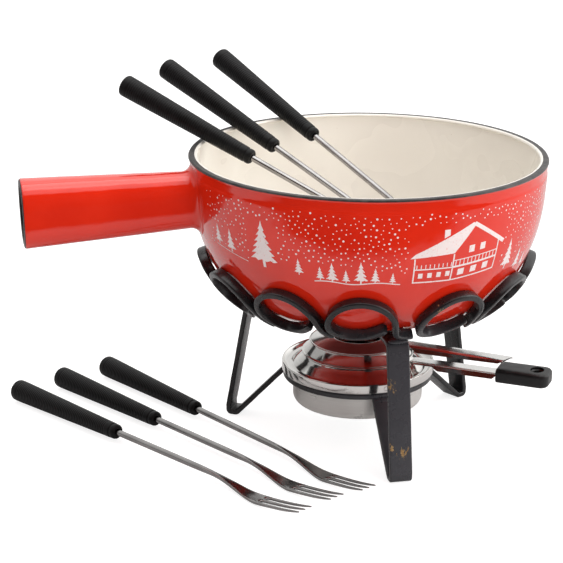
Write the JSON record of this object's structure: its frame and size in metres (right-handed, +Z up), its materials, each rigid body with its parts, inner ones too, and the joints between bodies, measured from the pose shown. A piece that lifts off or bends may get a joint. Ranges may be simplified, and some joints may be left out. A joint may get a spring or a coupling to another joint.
{
  "type": "fondue pot set",
  "caption": "Round-bottomed enamelled cast-iron fondue pot with a stub handle, resting in a wrought scroll stand over a paste burner with a regulator lever, with long-handled forks.",
  "frame": {"origin": "middle of the whole set's plan, on the table top", "axes": "+Z up; +X towards the burner's grip, so the pot's stub handle points to -X; +Y to the back, where the fork butts stand highest"},
  "size_m": [0.3794, 0.3096, 0.238],
  "materials": {
    "red_enamel": "gloss red enamel outside, cream enamel inside, bare dark rim",
    "black_paint": "satin black paint on flat steel bar",
    "burner_steel": "polished to satin stainless steel",
    "burner_gauze": "woven wire gauze",
    "burner_pad": "fibre wool",
    "grip_plastic": "moulded heat-resistant plastic",
    "fork_plastic": "moulded plastic with fine close rings",
    "fork_steel": "polished stainless wire, flattened at the head"
  },
  "bodies": {
    "stand": {"leg_1": "black_paint", "leg_2": "black_paint", "leg_3": "black_paint", "burner_ring": "black_paint", "scroll_01": "black_paint", "scroll_02": "black_paint", "scroll_03": "black_paint", "scroll_04": "black_paint", "scroll_05": "black_paint", "scroll_06": "black_paint", "scroll_07": "black_paint", "scroll_08": "black_paint", "scroll_09": "black_paint", "scroll_10": "black_paint", "scroll_11": "black_paint", "scroll_12": "black_paint"},
    "pot": {"caquelon": "red_enamel"},
    "burner": {"burner_cup": "burner_steel", "burner_dish": "burner_steel", "burner_pad": "burner_pad", "burner_gauze": "burner_gauze", "burner_handle_strip": "burner_steel", "burner_grip": "grip_plastic"},
    "regulator": {"regulator_cap": "burner_steel", "regulator_lever": "burner_steel", "lever_rivet_1": "burner_steel", "lever_rivet_2": "burner_steel"},
    "fork_1": {"fork_1_handle": "fork_plastic", "fork_1_steel": "fork_steel"},
    "fork_2": {"fork_2_handle": "fork_plastic", "fork_2_steel": "fork_steel"},
    "fork_3": {"fork_3_handle": "fork_plastic", "fork_3_steel": "fork_steel"},
    "fork_4": {"fork_4_handle": "fork_plastic", "fork_4_steel": "fork_steel"},
    "fork_5": {"fork_5_handle": "fork_plastic", "fork_5_steel": "fork_steel"},
    "fork_6": {"fork_6_handle": "fork_plastic", "fork_6_steel": "fork_steel"}
  },
  "joints": [
    {"name": "pot_lift", "type": "slide", "parent": "stand", "child": "pot", "axis": [0, 0, 1], "range_m": [0, 0.12]},
    {"name": "burner_lift", "type": "slide", "parent": "stand", "child": "burner", "axis": [0, 0, 1], "range_m": [0, 0.022]},
    {"name": "regulator_turn", "type": "hinge", "parent": "burner", "child": "regulator", "pos_m": [0.05967, 0.0055, 0.0635], "axis": [0, 0, 1], "range_deg": [0, 45]},
    {"name": "fork_1_lift", "type": "slide", "parent": "pot", "child": "fork_1", "axis": [0, 0, 1], "range_m": [0, 0.16]},
    {"name": "fork_2_lift", "type": "slide", "parent": "pot", "child": "fork_2", "axis": [0, 0, 1], "range_m": [0, 0.16]},
    {"name": "fork_3_lift", "type": "slide", "parent": "pot", "child": "fork_3", "axis": [0, 0, 1], "range_m": [0, 0.16]},
    {"name": "fork_4_lift", "type": "slide", "parent": "stand", "child": "fork_4", "axis": [-0.495, -0.5049, 0.7071], "range_m": [0, 0.17]},
    {"name": "fork_5_lift", "type": "slide", "parent": "stand", "child": "fork_5", "axis": [-0.495, -0.5049, 0.7071], "range_m": [0, 0.17]},
    {"name": "fork_6_lift", "type": "slide", "parent": "stand", "child": "fork_6", "axis": [-0.495, -0.5049, 0.7071], "range_m": [0, 0.17]}
  ]
}
